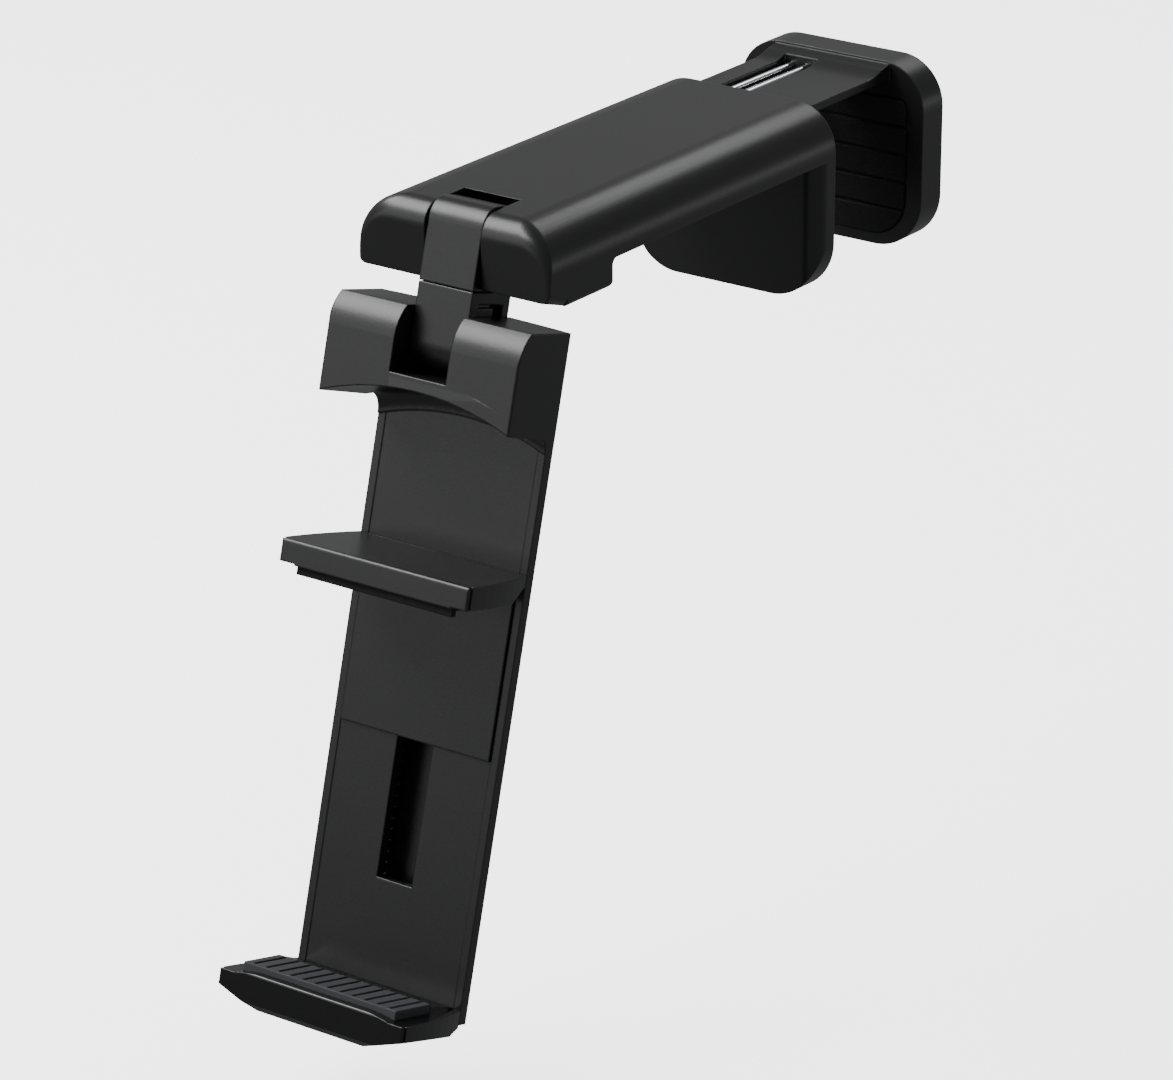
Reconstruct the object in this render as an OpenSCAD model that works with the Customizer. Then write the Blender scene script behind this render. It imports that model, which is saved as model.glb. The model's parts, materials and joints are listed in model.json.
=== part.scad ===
/* [Arm] */
// Width of the arm and of both clamp jaws
arm_w = 45; // [40:1:50]
// Length of the arm from its nose to the clamping face
arm_len = 98.4; // [95:0.1:110]
// Height of the arm's top above the middle of the clamping face
arm_top = 22.5; // [22:0.1:24]
// Depth of the arm bar
bar_h = 10.7; // [10.2:0.1:11.5]
// Radius of the two long top edges
shoulder_r = 9.4; // [8:0.1:9.8]
// Radius of the nose
nose_r = 4.6; // [3:0.1:4.8]
// Depth of the two hinge cheeks
cheek_h = 16.4; // [15:0.1:17.5]
// Length of the two hinge cheeks
cheek_len = 20.6; // [20:0.1:24]

/* [Clamp] */
// How far the near jaw reaches below the middle of its face
jaw_drop = 17; // [14:0.5:20]
// Thickness of the near jaw
near_t = 6.8; // [6:0.1:8]
// Thickness of the far jaw
far_t = 9.2; // [6:0.1:10]
// Gap between the pads as modelled
gap = 32.2; // [25:0.1:38]
// Width of the sliding plate
slide_w = 28.1; // [27:0.1:28.4]
// Thickness of the sliding plate
slide_t = 1.85; // [1.6:0.05:1.9]
// Diameter of the two guide rods
rod_d = 1.6; // [1.4:0.1:2]

/* [Link] */
// Forward tilt of the hanging group
tilt = 15; // [0:1:25]
// Width of the two link pieces
link_w = 12.7; // [12:0.1:12.9]
// Depth of the two link pieces
link_d = 12.6; // [12:0.1:12.8]
// Distance between the two hinge pins
link_len = 20.4; // [20:0.1:22]
// Diameter of the hinge pins
pin_d = 3; // [2.5:0.1:3.4]

/* [Holder] */
// Width of the holder's head
head_w = 45; // [42:1:48]
// Width of the back plate
plate_w = 40; // [39:0.5:41]
// Width of the two gripping jaws
jaw_w = 44.8; // [43:0.1:46]
// Gap between the two gripping pads as modelled
grip = 78.1; // [70:0.1:90]

/* [Hidden] */
$fn = 64;
e = 0.01;
// arm hinge axis, measured from the nose and from the top by the same amount
pin_in = 7.3;
pin_y = -arm_len + pin_in;
pin_z = arm_top - pin_in;
bar_bot = arm_top - bar_h;
cheek_bot = arm_top - cheek_h;
// the arm stops short of the clamping plane, so the pad stands proud
pad_proud = 0.4;
fork = 13.3;
// rounding of the nose around each shoulder: angle from the top, radius
nose_steps = [for (k = [1:15]) [5.625 * k, nose_r - (nose_r - 0.8) * k / 16]];
// sliding plate
slide_top = arm_top - 1.9;
slide_bot = slide_top - slide_t;
slide_in = gap - 77;
rod_z = slide_top - 1.4;
rod_x = [-7.6, -4.0];
slot_x0 = -9.2;
slot_x1 = -1.2;
far_top = 22.8;
// heights in the hanging frame: x as the arm, y away from the viewer, z up along the holder
// its origin is the arm hinge axis
yn = -1;            // middle of the link's depth
yf = yn - link_d / 2;
yb = yn + link_d / 2;
seam = -9.25;
hz = -link_len;      // head hinge axis
mid = hz - 86.2;     // middle of the gap between the gripping pads
front = 14.61;       // front plane of the gripped space is y = -front
head_top = mid + 92.5;
plate_f = 19.5 - front;
plate_b = 21.8 - front;
spine_b = 26.8 - front;
lip_f = -2.4 - front;

// ---- helpers ----
module hang() { translate([0, pin_y, pin_z]) rotate([-tilt, 0, 0]) children(); }
// extrude a (y, z) drawing along x, centred
module along_x(w) { rotate([90, 0, 90]) linear_extrude(w, center = true) children(); }
// extrude an (x, z) drawing along y, from y0 to y1
module along_y(y0, y1) { translate([0, y1, 0]) rotate([90, 0, 0]) linear_extrude(y1 - y0) children(); }
module xcyl(r, x0, x1) { translate([x0, 0, 0]) rotate([0, 90, 0]) cylinder(r = r, h = x1 - x0); }
module ycyl(r, y0, y1) { translate([0, y0, 0]) rotate([-90, 0, 0]) cylinder(r = r, h = y1 - y0); }
module box(a, b) { translate(a) cube([b[0] - a[0], b[1] - a[1], b[2] - a[2]]); }
// rectangle with its own radius at the top and at the bottom corners
module outline(w, top, bot, rt, rb) {
  translate([-w / 2, bot + rb]) square([w, top - rt - bot - rb]);
  translate([-w / 2 + rt, top - rt - e]) square([w - 2 * rt, rt + e]);
  translate([-w / 2 + rb, bot]) square([w - 2 * rb, rb + e]);
  for (s = [-1, 1]) {
    translate([s * (w / 2 - rt), top - rt]) circle(rt);
    translate([s * (w / 2 - rb), bot + rb]) circle(rb);
  }
}
// inside corner of radius r, its square corner at the origin
module fillet(r) { difference() { translate([-1, -1]) square(r + 1); translate([r - 0.03, r - 0.03]) circle(r); } }
// countersunk or pan screw pointing along +z from z = 0, head below
module screw(r, len, hr, hh) {
  difference() {
    union() { translate([0, 0, -0.2]) cylinder(r = r, h = len + 0.2); translate([0, 0, -hh]) cylinder(r = hr, h = hh); }
    translate([0, 0, -hh]) for (a = [0, 90]) rotate(a) cube([hr * 1.3, 0.45, 0.9], center = true);
  }
}
// one coil spring along z from 0 to len: mean radius rm, wire radius rw, n turns
function coil_ring(i, k, sides, rm, rw, len, n) =
  let (t = i / k, a = 360 * t)
  [for (j = [0:sides - 1]) let (b = 360 * j / sides, r = rm + rw * cos(b))
    [r * cos(a), r * sin(a), rw + (len - 2 * rw) * t / n + rw * sin(b)]];
module coil(rm, rw, len, n, k = 8, sides = 4) {
  rings = [for (i = [0:n * k]) coil_ring(i, k, sides, rm, rw, len, n)];
  pts = [for (r = rings) for (p = r) p];
  m = n * k;
  polyhedron(pts, concat(
    [[for (j = [sides - 1:-1:0]) j]],
    [for (i = [0:m - 1]) for (j = [0:sides - 1]) let (a = i * sides + j, b = i * sides + (j + 1) % sides) [a, b, a + sides]],
    [for (i = [0:m - 1]) for (j = [0:sides - 1]) let (a = i * sides + j, b = i * sides + (j + 1) % sides) [b, b + sides, a + sides]],
    [[for (j = [0:sides - 1]) m * sides + j]]));
}

// ---- arm ----
cover_y0 = -arm_len + cheek_len + 3.6;
cover_y1 = -11;
boss = [for (x = [-17.4, 17.4], y = [cover_y0 + 5, cover_y1 - 5]) [x, y]];
module arm_side() {
  difference() {
    union() {
      // bar and near jaw
      translate([-arm_len + 5, bar_bot]) square([arm_len - 5 - pad_proud, bar_h]);
      translate([-near_t, -jaw_drop]) square([near_t - pad_proud, jaw_drop + arm_top - 3]);
      // cheeks, with the sloping underside of the nose
      polygon([[-arm_len, arm_top - nose_r], [-arm_len, cheek_bot + 2], [-arm_len + 6.2, cheek_bot],
        [-arm_len + cheek_len - 1.5, cheek_bot], [-arm_len + cheek_len, cheek_bot + 1.5],
        [-arm_len + cheek_len, bar_bot + 2], [-arm_len + nose_r, arm_top - nose_r]]);
      translate([-arm_len + nose_r, cheek_bot + 4]) square([8, arm_top - cheek_bot - 4]);
      translate([-arm_len + nose_r, arm_top - nose_r]) circle(nose_r);
      translate([-arm_len + cheek_len - 1.5, cheek_bot + 1.5]) circle(1.5);
      // inside corners under the bar
      translate([-near_t, bar_bot]) rotate(180) fillet(3);
      translate([-arm_len + cheek_len, bar_bot]) rotate(-90) fillet(1.5);
    }
  }
}
module arm_body() {
  color([0.13, 0.13, 0.135]) difference() {
    union() {
      intersection() {
        along_x(arm_w) arm_side();
        along_y(-arm_len, 0) outline(arm_w, arm_top, -jaw_drop, shoulder_r, 11);
        // rounded front edges of the jaw, and small ones at the bottom of the cheeks
        union() {
          box([-arm_w, -arm_len, cheek_bot + 4], [arm_w, -60, arm_top + 1]);
          box([-arm_w, -61, bar_bot], [arm_w, 0, arm_top + 1]);
          along_y(-arm_len + 6, -60) outline(arm_w, arm_top, cheek_bot, 1, 1.2);
          intersection() {
            translate([0, -arm_len, cheek_bot + 2]) rotate([-17.9, 0, 0]) along_y(-4, 9) outline(arm_w, 12, 0, 1, 1.8);
            box([-arm_w, -arm_len, cheek_bot - 1], [arm_w, -arm_len + 6.3, cheek_bot + 4.2]);
          }
          translate([0, 0, -jaw_drop]) linear_extrude(jaw_drop + bar_bot) {
            translate([-arm_w / 2 + 3.6, -near_t - 4]) square([arm_w - 7.2, near_t + 4]);
            translate([-arm_w / 2, -near_t + 3.6]) square([arm_w, near_t - 3.6]);
            for (s = [-1, 1]) translate([s * (arm_w / 2 - 3.6), -near_t + 3.6]) circle(3.6);
          }
        }
      }
    }
    // fork for the tongue, open at the nose, the top and the bottom
    box([-fork / 2, -arm_len - 1, -1], [fork / 2, pin_y, arm_top + 1]);
    box([-fork / 2, pin_y - 1, -1], [fork / 2, pin_y + 9.1, pin_z]);
    translate([0, pin_y, pin_z]) xcyl(9.1, -fork / 2, fork / 2);
    // the nose's rounding follows the shoulders and fades out down the sides
    for (s = [0, 1]) mirror([s, 0, 0]) {
      for (k = nose_steps) translate([arm_w / 2 - shoulder_r, -arm_len, arm_top - shoulder_r]) rotate([0, k[0], 0])
        translate([0, 0, shoulder_r]) along_x(13) difference() { translate([-1, -k[1]]) square([k[1] + 1, k[1] + 1]); translate([k[1], -k[1]]) circle(k[1]); }
      translate([arm_w / 2, -arm_len, 8]) difference() {
        translate([-0.6, -1, -10]) cube([2, 1.6, 20]);
        translate([-0.6, 0.6, -10]) cylinder(r = 0.6, h = 20);
      }
    }
    // hinge pin hole, blind on the right, with a wider mouth for its cap on the left
    translate([0, pin_y, pin_z]) xcyl(pin_d / 2, -arm_w, 15);
    translate([0, pin_y, pin_z]) xcyl(2.6, -arm_w, -arm_w / 2 + 2.2);
    // track of the sliding plate, open at the clamping end
    box([-slide_w / 2 - 0.2, cover_y0, slide_bot - 0.2], [slide_w / 2 + 0.2, -8, slide_top + 0.25]);
    for (r = [[-slide_w / 2 - 0.2, slot_x0 + 0.35], [slot_x1 - 0.35, slide_w / 2 + 0.2]])
      box([r[0], -9, slide_bot - 0.2], [r[1], 1, slide_top + 0.25]);
    // holes of the guide rods through the bridge in the mouth
    for (x = rod_x) translate([x, 0, rod_z]) ycyl(rod_d / 2 + 0.06, -10, 1);
    // room under the track for the end block and the springs
    box([-12, cover_y0 + 0.6, bar_bot + 1], [12, -9.5, slide_bot]);
    // side pockets
    for (s = [-1, 1]) difference() {
      box([s > 0 ? 14.6 : -20.4, cover_y0 + 1.5, bar_bot + 1], [s > 0 ? 20.4 : -14.6, cover_y1 - 1.5, slide_bot - 1.9]);
      for (b = boss) translate([b[0], b[1], 0]) cylinder(r = 2.4, h = arm_top);
    }
    // rebate of the bottom cover
    box([-20.9, cover_y0, bar_bot - 1], [20.9, cover_y1, bar_bot + 1.6]);
    for (b = boss) translate([b[0], b[1], bar_bot]) cylinder(r = 0.8, h = 5);
    // seat of the near pad
    along_y(-1.6, 1) outline(37.2, 9.6, -14.6, 2.1, 8.1);
  }
}
module arm_bottom_cover() {
  color([0.11, 0.11, 0.115]) difference() {
    union() {
      box([-20.7, cover_y0 + 0.2, bar_bot], [20.7, cover_y1 - 0.2, bar_bot + 1.5]);
      for (x = [-12.9, 12.3]) box([x, cover_y0 + 4, bar_bot + 1.4], [x + 0.6, cover_y1 - 4, bar_bot + 2.4]);
    }
    for (x = [-13.3, 11.9]) box([x, cover_y0 + 2, bar_bot + 1.5], [x + 1.4, cover_y1 - 2, bar_bot + 3]);
    for (b = boss) translate([b[0], b[1], bar_bot - 1]) { cylinder(r = 1.15, h = 4); cylinder(r = 1.95, h = 1.9); }
  }
}
module arm_cover_screws() {
  color([0.35, 0.35, 0.36]) for (b = boss) translate([b[0], b[1], bar_bot + 0.9]) screw(0.8, 4, 1.8, 0.8);
}
module near_jaw_pad() {
  color([0.07, 0.07, 0.07]) difference() {
    along_y(-1.6, 0) outline(37, 9.5, -14.5, 2, 8);
    // shallow grooves across the face
    for (z = [-8.5:6:6]) box([-19, -0.4, z - 0.4], [19, 1, z + 0.4]);
  }
}

// ---- sliding jaw ----
module far_jaw() {
  color([0.12, 0.12, 0.125]) difference() {
    union() {
      along_y(gap + pad_proud, gap + far_t) outline(arm_w, far_top, -jaw_drop, 10, 11);
      box([-slide_w / 2, slide_in, slide_bot], [slide_w / 2, gap + 1, slide_top]);
      // concave rise from the plate to the jaw's rim
      translate([0, 0, 0]) along_x(slide_w) polygon([[gap - 8, slide_top - e], [gap + 1, slide_top - e], [gap + 1, far_top - 0.6], [gap + pad_proud, far_top - 0.6]]);
      // block that holds the rods' ends
      box([slot_x0 - 1, gap - 3.2, slide_bot - 0.75], [slot_x1 + 1, gap + 1, slide_top + 0.6]);
    }
    translate([0, gap - 8, slide_top + 14.1]) xcyl(14.1, -slide_w, slide_w);
    // slot for the bridge and the springs
    box([slot_x0, slide_in + 4, slide_bot - 1], [slot_x1, gap - 3.2, slide_top + 3]);
    for (x = rod_x) translate([x, 0, rod_z]) ycyl(rod_d / 2, gap - 4, gap + 3);
    // half round seats over the rods' inner ends
    for (x = rod_x) translate([x, 0, rod_z]) ycyl(rod_d / 2, slide_in + 1, slide_in + 5);
    for (x = [-10, 10]) translate([x, slide_in + 2.2, slide_bot - 1]) cylinder(r = 0.7, h = 2.4);
    along_y(0, gap + 1.6) outline(37.2, 15.1, -14.6, 2.1, 8.1);
    // rounded back edge
    difference() {
      box([-arm_w, gap + far_t - 1.2, -jaw_drop - 1], [arm_w, gap + far_t + 1, far_top + 1]);
      along_y(gap, gap + far_t + 2) outline(arm_w - 2, far_top - 1, -jaw_drop + 1, 9, 10);
      along_y(gap, gap + far_t - 0.8) outline(arm_w - 0.8, far_top - 0.4, -jaw_drop + 0.4, 9.6, 10.6);
    }
  }
}
module far_jaw_pad() {
  color([0.07, 0.07, 0.07]) difference() {
    along_y(gap, gap + 1.6) outline(37, 15, -14.5, 2, 8);
    for (z = [-8.5:6:12]) box([-19, gap - 1, z - 0.4], [19, gap + 0.4, z + 0.4]);
  }
}
module guide_rods() {
  color([0.82, 0.83, 0.85]) for (x = rod_x) translate([x, 0, rod_z]) ycyl(rod_d / 2, slide_in + 1.2, gap + 2.8);
}
module slide_end_block() {
  color([0.15, 0.15, 0.155]) difference() {
    box([-11.9, slide_in + 0.2, bar_bot + 3.4], [11.9, slide_in + 8, slide_bot]);
    for (x = rod_x) translate([x, 0, rod_z]) ycyl(rod_d / 2, slide_in - 1, slide_in + 9);
    // room for the springs behind the seat
    box([slot_x0, slide_in + 4, slide_bot - 1], [slot_x1, slide_in + 9, slide_bot + 1]);
    for (x = [-10, 10]) translate([x, slide_in + 2.2, bar_bot]) { cylinder(r = 0.9, h = 10); cylinder(r = 1.6, h = 4.6); }
    box([-4, slide_in - 1, bar_bot + 3], [4, slide_in + 5.5, bar_bot + 5.4]);
  }
}
module slide_end_screws() {
  color([0.35, 0.35, 0.36]) for (x = [-10, 10]) translate([x, slide_in + 2.2, bar_bot + 4.6]) screw(0.7, slide_bot + 1.3 - bar_bot - 4.6, 1.5, 0.8);
}
module clamp_springs() {
  color([0.7, 0.7, 0.72]) for (x = rod_x) translate([x, slide_in + 4.1, rod_z]) rotate([-90, 0, 0]) coil(1.24, 0.17, -8.2 - slide_in - 4.2 - 1, 20);
}

// ---- links ----
module upper_link() {
  color([0.16, 0.16, 0.165]) hang() difference() {
    along_x(link_w) {
      translate([yf, seam + 0.1]) square([link_d, -seam]);
      circle(7.2);
      translate([yf, -1]) square([nose_r, 8.2 - nose_r]);
      translate([yf + nose_r, -1]) square([-yf - nose_r, 8.2]);
      translate([yf + nose_r, 7.2 - nose_r]) circle(nose_r);
    }
    xcyl(pin_d / 2 + 0.04, -link_w, link_w);
    translate([0, yn, seam - 1]) cylinder(r = 1.5, h = 1 - 3.2 - seam);
  }
}
module arm_hinge_pin() {
  color([0.6, 0.6, 0.62]) translate([0, pin_y, pin_z]) xcyl(pin_d / 2, -arm_w / 2 + 2.4, 14.8);
}
module arm_pin_cap() {
  color([0.12, 0.12, 0.125]) translate([0, pin_y, pin_z]) xcyl(2.6, -arm_w / 2 + 0.15, -arm_w / 2 + 2.2);
}
module swivel_screw() {
  color([0.5, 0.5, 0.52]) hang() translate([0, yn, 0]) difference() {
    union() {
      translate([0, 0, -13.4]) cylinder(r = 1.5, h = 13.4 - 3.4);
      translate([0, 0, -15.4]) cylinder(r = 2.7, h = 2.01);
    }
    translate([0, 0, -16]) cylinder(r = 1.2, h = 1.6, $fn = 6);
  }
}
module swivel_washer() {
  color([0.55, 0.55, 0.57]) hang() translate([0, yn, -13.3]) difference() {
    cylinder(r = 3.3, h = 0.7);
    translate([0, 0, -1]) cylinder(r = 1.56, h = 3);
  }
}
module lower_link() {
  color([0.15, 0.15, 0.155]) hang() difference() {
    along_x(link_w) {
      translate([yf, hz]) square([link_d, seam - 0.1 - hz]);
      translate([yn, hz]) circle(link_d / 2);
    }
    // swivel bore, seat of the washer and way in from below
    translate([0, yn, -13]) cylinder(r = 1.55, h = 5);
    translate([0, yn, hz - 8]) cylinder(r = 3.5, h = 8 - hz - 12.55);
    // head hinge pin
    translate([0, yn, hz]) xcyl(pin_d / 2 + 0.04, -link_w, link_w);
    // stepped pocket in each side
    for (s = [0, 1]) mirror([s, 0, 0]) difference() {
      box([link_w / 2 - 1.3, -5, -16.4], [link_w / 2 + 1, 3.2, -11.7]);
      box([link_w / 2 - 2, -4.6, -17], [link_w / 2 - 0.35, 0.7, -12.5]);
    }
    for (s = [0, 1]) mirror([s, 0, 0]) box([link_w / 2 - 2.2, 0.9, -16.4], [link_w / 2 + 1, 3.2, -12.1]);
  }
}
module head_hinge_pin() {
  color([0.6, 0.6, 0.62]) hang() translate([0, yn, hz]) xcyl(pin_d / 2, -head_w / 2 + 2.4, 14.8);
}
module head_pin_cap() {
  color([0.12, 0.12, 0.125]) hang() translate([0, yn, hz]) xcyl(2.6, -head_w / 2 + 0.15, -head_w / 2 + 2.2);
}

// ---- holder ----
head_f = 2.45 - front;
slot_top = mid + 43.5;
slot_bot = mid - 20.5;
rc_z = [mid + 58, mid - 30];
low_z = mid - 42.55;
cover_top = mid + 62;
cover_low = mid - 41;
csx = 8.6;
ramp_r = 3.8;
// axis of the arch under the head, leaning a little down to the back
module arch() { translate([0, head_f, mid + 77.1]) rotate([-4.5, 0, 0]) translate([0, 0, -63.8]) rotate([-90, 0, 0]) children(); }
module holder_head() {
  color([0.14, 0.14, 0.145]) hang() difference() {
    union() {
      difference() {
        // root of the back plate
        along_x(40) translate([0, mid]) polygon([[1, 71.6], [plate_b, 71.6], [plate_b, 74], [4, 79], [1, 79]]);
        arch() translate([0, 0, -5]) cylinder(r = 63.8, h = 45, $fn = 128);
      }
      // curved ramp between the arch and the plate
      intersection() {
        arch() rotate_extrude($fn = 128) translate([63.8, 17.3]) difference() {
          translate([-ramp_r, -ramp_r]) square([ramp_r + 0.3, ramp_r + 0.5]);
          translate([-ramp_r, -ramp_r]) circle(ramp_r);
        }
        box([-20, -5, mid + 60], [20, plate_b - 0.3, mid + 79]);
      }
      // strip along the arch, running out to nothing at its right end
      intersection() {
        arch() translate([0, 0, -0.14]) difference() { cylinder(r = 66.6, h = 0.4, $fn = 128); translate([0, 0, -1]) cylinder(r = 63.8, h = 3, $fn = 128); }
        translate([0, 0, mid + 70]) linear_extrude(15) polygon([[-fork / 2, head_f + 1], [-fork / 2, head_f - 0.14], [8, head_f - 0.14],
          [21, head_f + 0.02], [21, head_f + 1]]);
      }
      difference() {
        intersection() {
          // side view of the head: flat top, wide curve down to the flat front
          along_x(head_w) intersection() {
            translate([head_f, mid + 71.6]) square([20, 20.9]);
            union() {
              translate([head_f, mid + 60]) square([30, 26.2]);
              translate([head_f + 8.2, mid + 80]) square([30, 20]);
              translate([head_f + 8.2, mid + 86.2]) circle(8.2);
            }
          }
          // plan of the head: straight ends and front, crowned back, proud strip along the arch
          translate([0, 0, mid + 60]) linear_extrude(40) intersection() {
            translate([0, 20.4 - front - 110]) circle(110, $fn = 160);
            polygon([[-head_w / 2, 20], [-head_w / 2, head_f + 0.2], [-head_w / 2 + 0.3, head_f], [head_w / 2 - 0.3, head_f],
              [head_w / 2, head_f + 0.2], [head_w / 2, 20]]);
          }
        }
        // arched underside
        arch() translate([0, 0, -5]) cylinder(r = 63.8, h = 45, $fn = 128);
      }
      // back plate
      difference() {
        box([-plate_w / 2, plate_f, mid - 44], [plate_w / 2, plate_b, mid + 74]);
        along_y(plate_f - 1, plate_f + 0.13) outline(36.4, mid + 73, mid - 60, 1, 1);
      }
      box([-20, plate_f, mid - 44], [20, plate_b, mid - 41.4]);
      // spine behind the plate
      box([-13, plate_b - 0.4, mid - 44], [13, spine_b, mid + 74]);
      along_x(25.6) translate([0, mid]) polygon([[plate_b - 1.5, 70.5], [spine_b - 0.3, 70.5], [spine_b - 0.3, 74.3],
        [plate_b - 1.2, 80.2], [plate_b - 4, 80.2], [plate_b - 4, 77.4], [plate_b - 1.5, 76.4]]);
    }
    // notch of the lower link
    along_x(fork) {
      translate([yn, hz]) circle(6.6);
      translate([head_f - 1, hz - 6.5]) square([yn + 1.1 - head_f, 60]);
      translate([yn - 1, hz - 3.6]) square([30, 60]);
    }
    translate([0, yn, hz]) xcyl(pin_d / 2, -head_w, 15);
    translate([0, yn, hz]) xcyl(2.6, -head_w, -head_w / 2 + 2.2);
    // slot of the upper jaw's key
    box([-4.3, 0, slot_bot], [4.3, plate_b + 2, slot_top]);
    // spring channel and its cover's rebate
    box([-10.5, plate_b, cover_low + 1.5], [10.5, spine_b + 1, cover_top - 1.5]);
    box([-11.9, spine_b - 1.5, cover_low - 0.1], [11.9, spine_b + 1, cover_top + 0.1]);
    // screws of the lower jaw
    for (x = [-9, 9]) translate([x, 0, low_z]) { ycyl(0.85, 0, 20); ycyl(1.3, spine_b - 1.2, 20); }
  }
  color([0.14, 0.14, 0.145]) hang() {
    // posts that hold the lower ends of the springs, and bosses of the cover's screws
    for (x = [-6.5, 6.5]) translate([x, 0, mid - 37.6]) ycyl(0.9, plate_b - 0.5, spine_b - 1.6);
    for (z = rc_z) translate([0, 0, z]) difference() {
      ycyl(2.2, plate_b - 0.5, spine_b - 1.5);
      ycyl(0.8, plate_b + 0.4, spine_b);
    }
  }
}
module rear_cover() {
  color([0.11, 0.11, 0.115]) hang() difference() {
    box([-11.8, spine_b - 1.45, cover_low], [11.8, spine_b, cover_top]);
    for (z = rc_z) translate([0, 0, z]) { ycyl(1.1, spine_b - 3, spine_b + 1); ycyl(1.95, spine_b - 0.95, spine_b + 1); }
  }
}
module rear_cover_screws() {
  color([0.35, 0.35, 0.36]) hang() for (z = rc_z) translate([0, spine_b - 0.95, z]) rotate([90, 0, 0]) screw(0.8, 3.4, 1.8, 0.8);
}
module grip_springs() {
  color([0.7, 0.7, 0.72]) hang() for (x = [-6.5, 6.5]) translate([x, plate_b + 1.8, mid - 36.4]) coil(1.3, 0.2, 45.3, 20);
}

// ---- upper jaw, in its own track ----
key_z = mid + 12;
// plan of a jaw: wide at the front, narrower at the plate, rounded front corners
module jaw_plan(y1, w1) {
  w0 = jaw_w / 2;
  side = [for (t = [0:0.125:1]) [w0 - (w0 - w1 / 2) * t * t, lip_f + 0.5 + (y1 - lip_f - 0.5) * t]];
  polygon(concat([[-w0 + 0.5, lip_f], [w0 - 0.5, lip_f]], side, [for (k = [8:-1:0]) [-side[k][0], side[k][1]]]));
  for (s = [-1, 1]) translate([s * (w0 - 0.5), lip_f + 0.5]) circle(0.5);
}
module upper_jaw() {
  color([0.13, 0.13, 0.135]) hang() difference() {
    union() {
      intersection() {
        translate([0, 0, mid + 30]) linear_extrude(20) jaw_plan(plate_f - 0.1, plate_w);
        along_x(jaw_w + 2) {
          translate([0, mid]) polygon([[lip_f, 39.6], [-3.2, 39.6], [-3.2, 38.8], [-2.1, 38.8], [4.19, 42.7], [5, 42.7],
            [5, 45.1], [lip_f + 0.65, 44.43], [lip_f, 43.83]]);
          translate([lip_f + 0.6, mid + 43.83]) circle(0.6);
        }
        // front lower edge a little higher at the ends
        translate([0, 0, mid]) along_y(-30, 10) {
          translate([-30, 39.9]) square([60, 10]);
          translate([-18.6, 30]) square([37.2, 12]);
        }
      }
      // foot between the rims, and its key through the plate
      box([-18, plate_f - 0.5, mid + 8], [18, plate_f + 0.1, mid + 45.1]);
      box([-4, plate_f + 0.05, key_z - 3.5], [4, plate_b + 0.1, key_z + 3.5]);
    }
    // seat of the pad
    box([-18.6, -16.1, mid + 30], [18.6, -3.2, mid + 41.1]);
    for (x = [-2.2, 2.2]) translate([x, 0, key_z]) ycyl(0.7, plate_f + 0.4, 20);
    for (s = [0, 1]) mirror([s, 0, 0]) box([jaw_w / 2 - 0.5, lip_f + 0.35, mid + 30], [jaw_w / 2 + 2, lip_f + 1.15, mid + 50]);
  }
}
module upper_jaw_pad() {
  color([0.08, 0.08, 0.08]) hang() difference() {
    union() {
      box([-18.5, -16, mid + 39.05], [18.5, -3.3, mid + 41.1]);
      box([-18.5, -16, mid + 37.9], [18.5, -14.71, mid + 39.2]);
    }
    for (x = [-16.5:3:16.5]) box([x - 0.4, -14.2, mid + 38], [x + 0.4, -3, mid + 39.45]);
  }
}
module spring_crossbar() {
  color([0.16, 0.16, 0.165]) hang() difference() {
    box([-9, plate_b + 0.1, key_z - 3], [9, plate_b + 3, key_z + 3]);
    for (x = [-2.2, 2.2]) translate([x, 0, key_z]) { ycyl(0.8, 0, 20); ycyl(1.5, plate_b + 2, 20); }
  }
}
module crossbar_screws() {
  color([0.35, 0.35, 0.36]) hang() for (x = [-2.2, 2.2]) translate([x, plate_b + 2, key_z]) rotate([90, 0, 0]) screw(0.7, 3.4, 1.35, 0.7);
}

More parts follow.
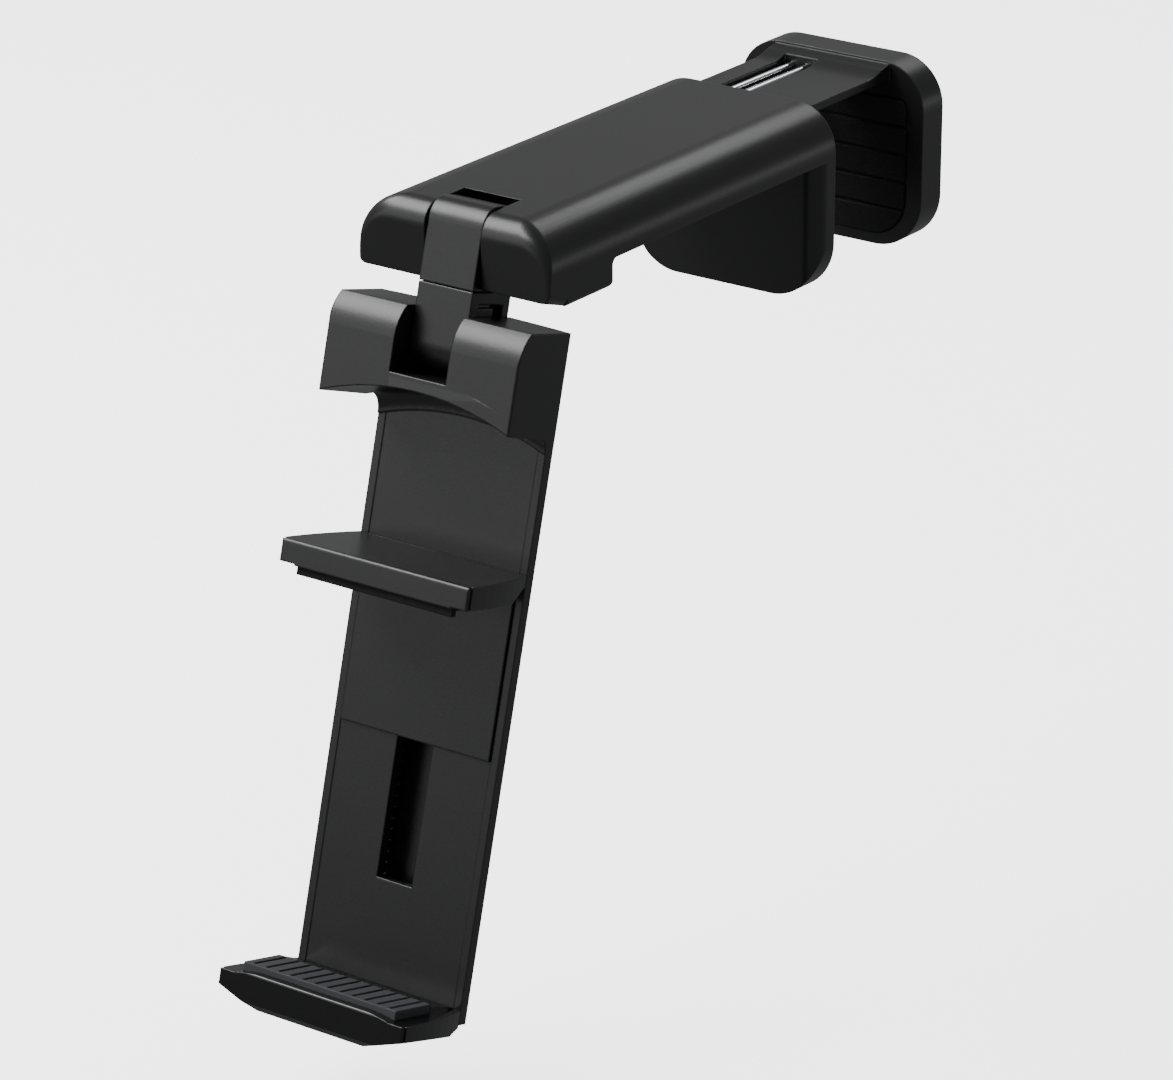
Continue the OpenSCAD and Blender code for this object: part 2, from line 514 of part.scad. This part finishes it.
// ---- lower jaw, fixed to the foot of the plate ----
lip_curve = [for (t = [0:0.125:1]) [20.5 - 7.5 * t, -41 + 0.8 * (0.5 - 0.5 * cos(180 * t))]];
module lower_jaw() {
  color([0.12, 0.12, 0.125]) hang() difference() {
    union() {
      intersection() {
        translate([0, 0, mid - 60]) linear_extrude(30) jaw_plan(plate_f, plate_w);
        along_x(jaw_w + 2) translate([0, mid]) {
          polygon([[lip_f, -41.4], [lip_f, -46.1], [lip_f + 1.2, -47.35], [-3, -47.35], [2.4, -45.2], [plate_f, -44.5],
            [plate_f, -41], [-2.5, -39.4], [-3.4, -39.4], [lip_f + 0.45, -40.2], [lip_f, -40.65]]);
          translate([lip_f + 0.45, -40.65]) circle(0.45);
        }
        // outline from the front, with its slanted bottom corners, a little deeper at the back
        translate([0, lip_f, mid]) rotate([-3, 0, 0]) translate([0, -lip_f, 0]) along_y(-30, 10) polygon([[-12.5, -47.35], [12.5, -47.35],
          [22.5, -43.95], [22.5, -35], [-22.5, -35], [-22.5, -43.95]]);
      }
      // ears on the foot of the plate
      for (x = [-9, 9]) translate([x, 0, low_z]) ycyl(1.4, plate_f - 5, plate_f);
    }
    box([-18.6, -14.61, mid - 41], [18.6, -3.3, mid - 30]);
    // the lip is lower beside its raised middle
    translate([0, 0, mid]) along_y(lip_f - 1, -14.6) polygon(concat([[24, -30], [24, -41]], lip_curve,
      [for (k = [len(lip_curve) - 1:-1:0]) [-lip_curve[k][0], lip_curve[k][1]]], [[-24, -41], [-24, -30]]));
    for (s = [0, 1]) mirror([s, 0, 0]) {
      box([18.5, lip_f - 1, mid - 41], [24, plate_f + 0.5, mid - 30]);
      box([jaw_w / 2 - 0.5, lip_f + 0.35, mid - 50], [jaw_w / 2 + 2, lip_f + 1.15, mid - 30]);
    }
    for (x = [-9, 9]) translate([x, 0, low_z]) ycyl(0.7, plate_f - 3.4, plate_f + 1);
  }
}
module lower_jaw_screws() {
  color([0.35, 0.35, 0.36]) hang() for (x = [-9, 9]) translate([x, spine_b - 1.2, low_z]) rotate([90, 0, 0]) screw(0.7, 8.4, 1.2, 0.8);
}
module lower_jaw_pad() {
  color([0.2, 0.2, 0.21]) hang() difference() {
    box([-18.5, -14.6, mid - 41], [18.5, -3.4, mid - 39.05]);
    for (x = [-16.5:3:16.5]) box([x - 0.4, -13.8, mid - 39.4], [x + 0.4, -3, mid - 38]);
  }
}

arm_body();
arm_bottom_cover();
arm_cover_screws();
near_jaw_pad();
far_jaw();
far_jaw_pad();
guide_rods();
slide_end_block();
slide_end_screws();
clamp_springs();
upper_link();
arm_hinge_pin();
arm_pin_cap();
swivel_screw();
swivel_washer();
lower_link();
head_hinge_pin();
head_pin_cap();
holder_head();
rear_cover();
rear_cover_screws();
grip_springs();
upper_jaw();
upper_jaw_pad();
spring_crossbar();
crossbar_screws();
lower_jaw();
lower_jaw_screws();
lower_jaw_pad();
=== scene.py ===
import json
import math

import bpy
from mathutils import Matrix, Vector

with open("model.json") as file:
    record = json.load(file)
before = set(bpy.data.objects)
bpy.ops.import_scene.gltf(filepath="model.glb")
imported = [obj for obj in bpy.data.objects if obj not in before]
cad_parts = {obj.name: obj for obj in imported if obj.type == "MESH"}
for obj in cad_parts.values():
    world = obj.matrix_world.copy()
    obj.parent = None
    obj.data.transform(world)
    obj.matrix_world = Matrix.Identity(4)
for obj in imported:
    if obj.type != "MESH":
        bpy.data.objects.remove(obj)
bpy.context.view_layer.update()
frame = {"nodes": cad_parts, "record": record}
nodes = frame["nodes"]
BODY = {n: b for b, ns in frame["record"]["behaviour"]["bodies"].items() for n in ns}
SLOT = {s["node"]: s["material_slot"] for s in frame["record"]["subparts"]}


# ---------- materials ----------
def material(name, colour, rough, spec=0.5, metal=0.0, grain=2600.0, bump=0.03, vary=0.05, coat=0.0, edge=0.0):
    """Fine moulded or drawn surface: slight colour and gloss variation and a small grain."""
    m = bpy.data.materials.new(name)
    m.use_nodes = True
    t = m.node_tree
    b = t.nodes["Principled BSDF"]
    b.inputs["Metallic"].default_value = metal
    b.inputs["Specular IOR Level"].default_value = spec
    b.inputs["Coat Weight"].default_value = coat
    co = t.nodes.new("ShaderNodeTexCoord")
    big = t.nodes.new("ShaderNodeTexNoise")
    big.inputs["Scale"].default_value = 60.0
    big.inputs["Detail"].default_value = 4.0
    fine = t.nodes.new("ShaderNodeTexNoise")
    fine.inputs["Scale"].default_value = grain
    fine.inputs["Detail"].default_value = 2.0
    for n in (big, fine):
        t.links.new(co.outputs["Object"], n.inputs["Vector"])
    ramp = t.nodes.new("ShaderNodeValToRGB")
    lo = [c * (1 - vary) for c in colour]
    hi = [min(1.0, c * (1 + vary)) for c in colour]
    ramp.color_ramp.elements[0].position = 0.3
    ramp.color_ramp.elements[1].position = 0.7
    ramp.color_ramp.elements[0].color = (*lo, 1)
    ramp.color_ramp.elements[1].color = (*hi, 1)
    t.links.new(big.outputs["Fac"], ramp.inputs["Fac"])
    t.links.new(ramp.outputs["Color"], b.inputs["Base Color"])
    mr = t.nodes.new("ShaderNodeMapRange")
    mr.inputs["To Min"].default_value = rough - 0.04
    mr.inputs["To Max"].default_value = rough + 0.04
    t.links.new(fine.outputs["Fac"], mr.inputs["Value"])
    t.links.new(mr.outputs["Result"], b.inputs["Roughness"])
    bp = t.nodes.new("ShaderNodeBump")
    bp.inputs["Strength"].default_value = bump
    bp.inputs["Distance"].default_value = 0.0003
    t.links.new(fine.outputs["Fac"], bp.inputs["Height"])
    if edge:
        bv = t.nodes.new("ShaderNodeBevel")
        bv.samples = 8
        bv.inputs["Radius"].default_value = edge
        t.links.new(bv.outputs["Normal"], bp.inputs["Normal"])
    t.links.new(bp.outputs["Normal"], b.inputs["Normal"])
    return m


MATS = {
    "satin_black": material("satin_black", (0.011, 0.011, 0.0115), 0.33, 0.55, bump=0.04, edge=0.00045),
    "glossy_black": material("glossy_black", (0.004, 0.004, 0.0042), 0.16, 0.5, bump=0.02, edge=0.0003),
    "pad_rubber": material("pad_rubber", (0.008, 0.008, 0.008), 0.7, 0.3, bump=0.1, edge=0.0004),
    "grip_rubber": material("grip_rubber", (0.05, 0.052, 0.058), 0.6, 0.4, bump=0.1, edge=0.0004),
    "chrome_rod": material("chrome_rod", (0.8, 0.81, 0.83), 0.12, metal=1.0, bump=0.01),
    "steel": material("steel", (0.5, 0.5, 0.51), 0.35, metal=1.0, bump=0.03),
}


def dress(o, mat):
    o.data.materials.clear()
    o.data.materials.append(mat)


for n, o in nodes.items():
    for i in range(len(o.material_slots)):
        o.material_slots[i].material = MATS[SLOT[n]]


# ---------- floor, lights and camera ----------
def plane(name, size, z):
    me = bpy.data.meshes.new(name)
    s = size / 2
    me.from_pydata([(-s, -s, z), (s, -s, z), (s, s, z), (-s, s, z)], [], [(0, 1, 2, 3)])
    o = bpy.data.objects.new(name, me)
    bpy.context.scene.collection.objects.link(o)
    return o


floor = plane("floor", 14.0, -0.150)
fm = material("floor_pale", (0.9, 0.9, 0.9), 0.9, 0.2, bump=0.0, grain=300.0, vary=0.01)
# a bright pale sheet, seen from above only
ft = fm.node_tree
fb = ft.nodes["Principled BSDF"]
fb.inputs["Emission Color"].default_value = (1, 1, 1, 1)
fb.inputs["Emission Strength"].default_value = 3.0
clear = ft.nodes.new("ShaderNodeBsdfTransparent")
side = ft.nodes.new("ShaderNodeNewGeometry")
mix = ft.nodes.new("ShaderNodeMixShader")
ft.links.new(side.outputs["Backfacing"], mix.inputs["Fac"])
ft.links.new(fb.outputs["BSDF"], mix.inputs[1])
ft.links.new(clear.outputs["BSDF"], mix.inputs[2])
ft.links.new(mix.outputs["Shader"], ft.nodes["Material Output"].inputs["Surface"])
dress(floor, fm)


def area(name, loc, target, size, power, colour=(1, 1, 1), size_y=None):
    l = bpy.data.lights.new(name, "AREA")
    l.energy = power
    l.color = colour
    l.size = size
    if size_y:
        l.shape = "RECTANGLE"
        l.size_y = size_y
    o = bpy.data.objects.new(name, l)
    o.location = loc
    o.rotation_euler = (Vector(target) - Vector(loc)).to_track_quat("-Z", "Y").to_euler()
    bpy.context.scene.collection.objects.link(o)
    o.visible_camera = False
    return o


# softboxes: a long one up on the left, a small one over the far end, a tall one to the left of
# the front, a dim backdrop and a thin rim light at the back right
area("overhead", (-0.627, -0.398, 0.827), (0, -0.09, -0.02), 1.25, 17.5, size_y=0.45)
area("behind", (-0.04, 0.454, 0.412), (0.018, 0.0, 0.02), 0.28, 0.45, size_y=0.12)
area("left_front", (-0.85, -1.25, 0.37), (0, -0.09, -0.05), 0.8, 2.9, size_y=0.8)
area("backdrop", (-0.9, 1.3, 0.35), (0, -0.05, 0.0), 1.2, 0.4, size_y=0.7)
area("rim_right", (0.585, 0.63, -0.025), (0, -0.05, 0.02), 0.35, 0.16, size_y=0.12)
floor.visible_glossy = False
floor.visible_diffuse = False

world = bpy.data.worlds.new("studio")
bpy.context.scene.world = world
world.use_nodes = True
world.node_tree.nodes["Background"].inputs[0].default_value = (0.9, 0.91, 0.93, 1)
world.node_tree.nodes["Background"].inputs[1].default_value = 0.25

cam = bpy.data.cameras.new("camera")
cam.lens = 158.39
cam.sensor_width = 36.0
cam.sensor_fit = "HORIZONTAL"
cam.clip_start = 0.01
cam.clip_end = 50
co = bpy.data.objects.new("camera", cam)
bpy.context.scene.collection.objects.link(co)
r = Vector((0.813625083, 0.581389854, 0.000246736))
u = Vector((-0.214283277, 0.299483816, 0.929726907))
b = Vector((0.540459897, -0.756502003, 0.368249668))
m = Matrix.Identity(4)
for i, v in enumerate((r, u, b)):
    for k in range(3):
        m[k][i] = v[k]
for k, v in enumerate((0.55801, -0.83596, 0.32213)):
    m[k][3] = v
co.matrix_world = m
bpy.context.scene.camera = co
